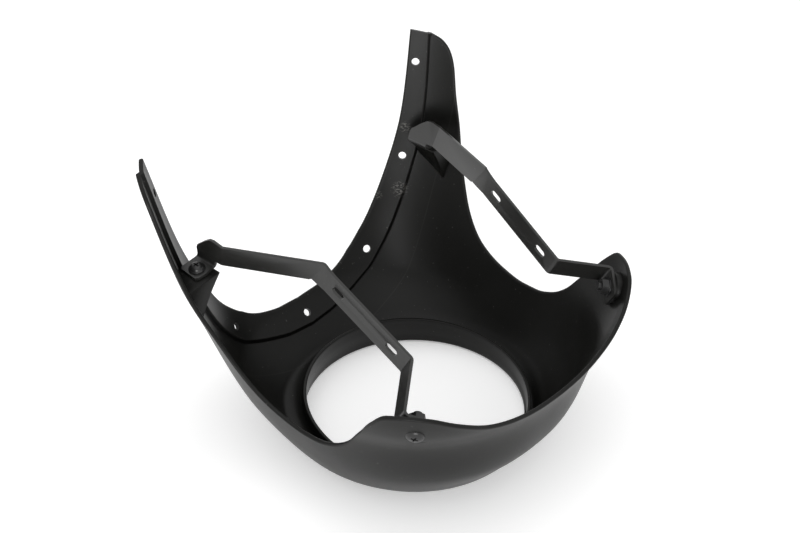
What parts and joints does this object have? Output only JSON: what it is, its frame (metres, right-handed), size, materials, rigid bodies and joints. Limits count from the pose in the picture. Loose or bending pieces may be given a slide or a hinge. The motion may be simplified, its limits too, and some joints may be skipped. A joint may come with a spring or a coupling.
{
  "type": "headlight cowl",
  "caption": "Bowl-shaped motorcycle headlight cowl with a round collar, tall ears with a recessed screen flange, low side recesses and folded strip arms inside.",
  "frame": {"origin": "centre of the front lip, on the plane that the cowl lies on; it is the bottom centre of the box within 2 mm", "axes": "+Z from the front lip back towards the rider, +Y up on the machine, +X across; the mirror plane is x = 0"},
  "size_m": [0.2916, 0.2524, 0.2188],
  "materials": {
    "shell": "satin black moulded plastic",
    "arm": "satin black coated steel strip",
    "screw": "black coated steel",
    "nut": "black coated steel"
  },
  "bodies": {
    "root": {"cowl_shell": "shell", "bracket_left": "arm", "bracket_right": "arm", "upper_screws": "screw", "lobe_screws": "screw", "lobe_nuts": "nut"}
  },
  "joints": []
}
